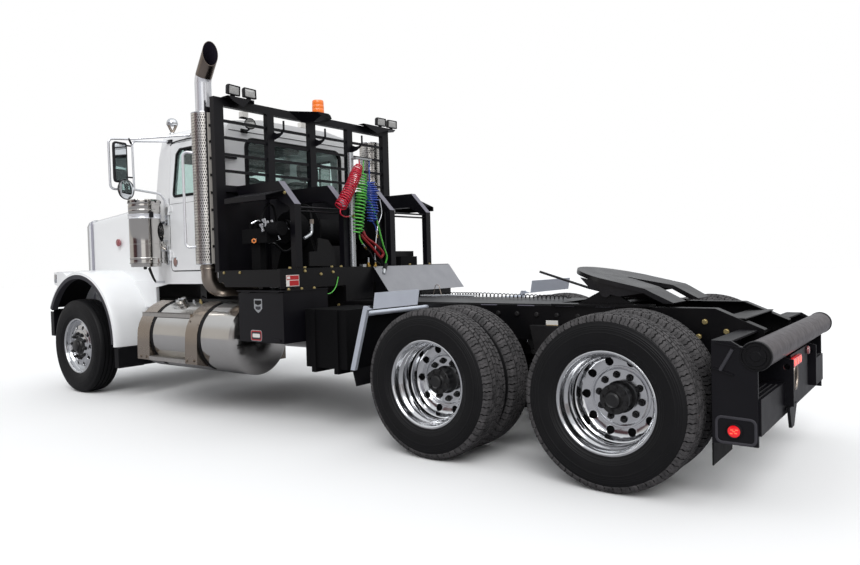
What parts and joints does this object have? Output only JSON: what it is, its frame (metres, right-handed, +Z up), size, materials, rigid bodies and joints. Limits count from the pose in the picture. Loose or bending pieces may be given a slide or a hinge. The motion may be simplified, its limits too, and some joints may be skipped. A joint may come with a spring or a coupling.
{
  "type": "winch truck",
  "caption": "Heavy-haul conventional tractor truck with a winch deck, headache rack, fifth wheel and a full-width tail roller behind a day cab.",
  "frame": {"origin": "on the ground under the middle of the vehicle's length, on its centre plane", "axes": "+X forward, +Y to the vehicle's left, +Z up"},
  "size_m": [8.27, 3.0596, 3.5472],
  "materials": {
    "paint_white": "gloss enamel",
    "paint_black": "semi-gloss enamel",
    "chassis_black": "satin, dusty",
    "cast_steel": "rough casting, painted dark",
    "cast_iron": "rough",
    "tyre": "dusty rubber",
    "wheel_aluminium": "forged and polished",
    "chrome": "plated",
    "polished_steel": "polished stainless",
    "polished_aluminium": "polished",
    "brushed_steel": "brushed",
    "rubber": "matte",
    "glass": "lightly tinted",
    "interior_plastic": "grained",
    "lamp_plastic": "moulded",
    "lens_red": "moulded",
    "hose_red": "extruded",
    "hose_green": "extruded",
    "hose_blue": "extruded"
  },
  "bodies": {
    "root": {"frame_rails": "chassis_black", "front_axle": "chassis_black", "rear_axles": "cast_steel", "rear_suspension": "cast_steel", "engine": "cast_iron", "front_bumper": "chrome", "cab_shell": "paint_white", "cab_glass": "glass", "cab_interior": "interior_plastic", "cab_fittings": "chrome", "air_cleaners": "polished_steel", "exhaust": "chrome", "fuel_tanks": "polished_aluminium", "tank_steps": "brushed_steel", "tool_boxes": "paint_black", "hydraulic_tank": "chassis_black", "headache_rack": "paint_black", "rack_lamps": "lamp_plastic", "winch_deck": "paint_black", "winch_guards": "paint_black", "winch_frame": "chassis_black", "winch_valves": "brushed_steel", "hose_post": "paint_black", "hose_red": "hose_red", "hose_green": "hose_green", "hose_blue": "hose_blue", "frame_cable": "rubber", "flap_hangers": "brushed_steel", "mud_flaps": "rubber", "fifth_wheel_base": "chassis_black", "tail_frame": "paint_black", "tail_lamps": "lens_red"},
    "knuckle_left": {"knuckle_left": "cast_steel"},
    "knuckle_right": {"knuckle_right": "cast_steel"},
    "wheel_front_left": {"front_tyre_left": "tyre", "front_rim_left": "wheel_aluminium"},
    "wheel_mid_left": {"mid_tyres_left": "tyre", "mid_rims_left": "wheel_aluminium"},
    "wheel_rear_left": {"rear_tyres_left": "tyre", "rear_rims_left": "wheel_aluminium"},
    "door_left": {"door_left": "paint_white", "door_glass_left": "glass"},
    "box_door_left": {"box_door_left": "paint_black"},
    "wheel_front_right": {"front_tyre_right": "tyre", "front_rim_right": "wheel_aluminium"},
    "wheel_mid_right": {"mid_tyres_right": "tyre", "mid_rims_right": "wheel_aluminium"},
    "wheel_rear_right": {"rear_tyres_right": "tyre", "rear_rims_right": "wheel_aluminium"},
    "door_right": {"door_right": "paint_white", "door_glass_right": "glass"},
    "box_door_right": {"box_door_right": "paint_black"},
    "hood": {"hood": "paint_white", "grille": "chrome", "splash_guards": "rubber"},
    "winch_drum": {"winch_drum": "cast_steel"},
    "tail_roller": {"tail_roller": "brushed_steel"},
    "fifth_wheel": {"fifth_wheel_plate": "cast_steel"}
  },
  "joints": [
    {"name": "steer_left", "type": "hinge", "parent": "root", "child": "knuckle_left", "pos_m": [3.41, 0.87, 0.552], "axis": [0, 0, 1], "range_deg": [-35, 35]},
    {"name": "steer_right", "type": "hinge", "parent": "root", "child": "knuckle_right", "pos_m": [3.41, -0.87, 0.552], "axis": [0, 0, 1], "range_deg": [-35, 35]},
    {"name": "front_wheel_left_spin", "type": "hinge", "parent": "knuckle_left", "child": "wheel_front_left", "pos_m": [3.41, 1.015, 0.552], "axis": [0, 1, 0], "continuous": true},
    {"name": "mid_wheels_left_spin", "type": "hinge", "parent": "root", "child": "wheel_mid_left", "pos_m": [-1.838, 0.915, 0.552], "axis": [0, 1, 0], "continuous": true},
    {"name": "rear_wheels_left_spin", "type": "hinge", "parent": "root", "child": "wheel_rear_left", "pos_m": [-3.21, 0.915, 0.552], "axis": [0, 1, 0], "continuous": true},
    {"name": "front_wheel_right_spin", "type": "hinge", "parent": "knuckle_right", "child": "wheel_front_right", "pos_m": [3.41, -1.015, 0.552], "axis": [0, 1, 0], "continuous": true},
    {"name": "mid_wheels_right_spin", "type": "hinge", "parent": "root", "child": "wheel_mid_right", "pos_m": [-1.838, -0.915, 0.552], "axis": [0, 1, 0], "continuous": true},
    {"name": "rear_wheels_right_spin", "type": "hinge", "parent": "root", "child": "wheel_rear_right", "pos_m": [-3.21, -0.915, 0.552], "axis": [0, 1, 0], "continuous": true},
    {"name": "hood_tilt", "type": "hinge", "parent": "root", "child": "hood", "pos_m": [4.08, 0, 0.965], "axis": [0, 1, 0], "range_deg": [0, 60]},
    {"name": "door_left_swing", "type": "hinge", "parent": "root", "child": "door_left", "pos_m": [1.715, 0.944, 1.8], "axis": [0, 0, -1], "range_deg": [0, 70]},
    {"name": "box_door_left_swing", "type": "hinge", "parent": "root", "child": "box_door_left", "pos_m": [-0.063, 1.23, 1.212], "axis": [1, 0, 0], "range_deg": [0, 80]},
    {"name": "door_right_swing", "type": "hinge", "parent": "root", "child": "door_right", "pos_m": [1.715, -0.944, 1.8], "axis": [0, 0, 1], "range_deg": [0, 70]},
    {"name": "box_door_right_swing", "type": "hinge", "parent": "root", "child": "box_door_right", "pos_m": [-0.063, -1.23, 1.212], "axis": [-1, 0, 0], "range_deg": [0, 80]},
    {"name": "winch_drum_spin", "type": "hinge", "parent": "root", "child": "winch_drum", "pos_m": [0.13, 0.14, 1.76], "axis": [0, 1, 0], "continuous": true},
    {"name": "tail_roller_spin", "type": "hinge", "parent": "root", "child": "tail_roller", "pos_m": [-4.051, 0, 0.881], "axis": [0, 1, 0], "continuous": true},
    {"name": "fifth_wheel_pitch", "type": "hinge", "parent": "root", "child": "fifth_wheel", "pos_m": [-2.91, 0, 1.201], "axis": [0, 1, 0], "range_deg": [0, 25]}
  ],
  "couplings": [
    {"joint": "steer_right", "follows": "steer_left", "ratio": 1}
  ]
}
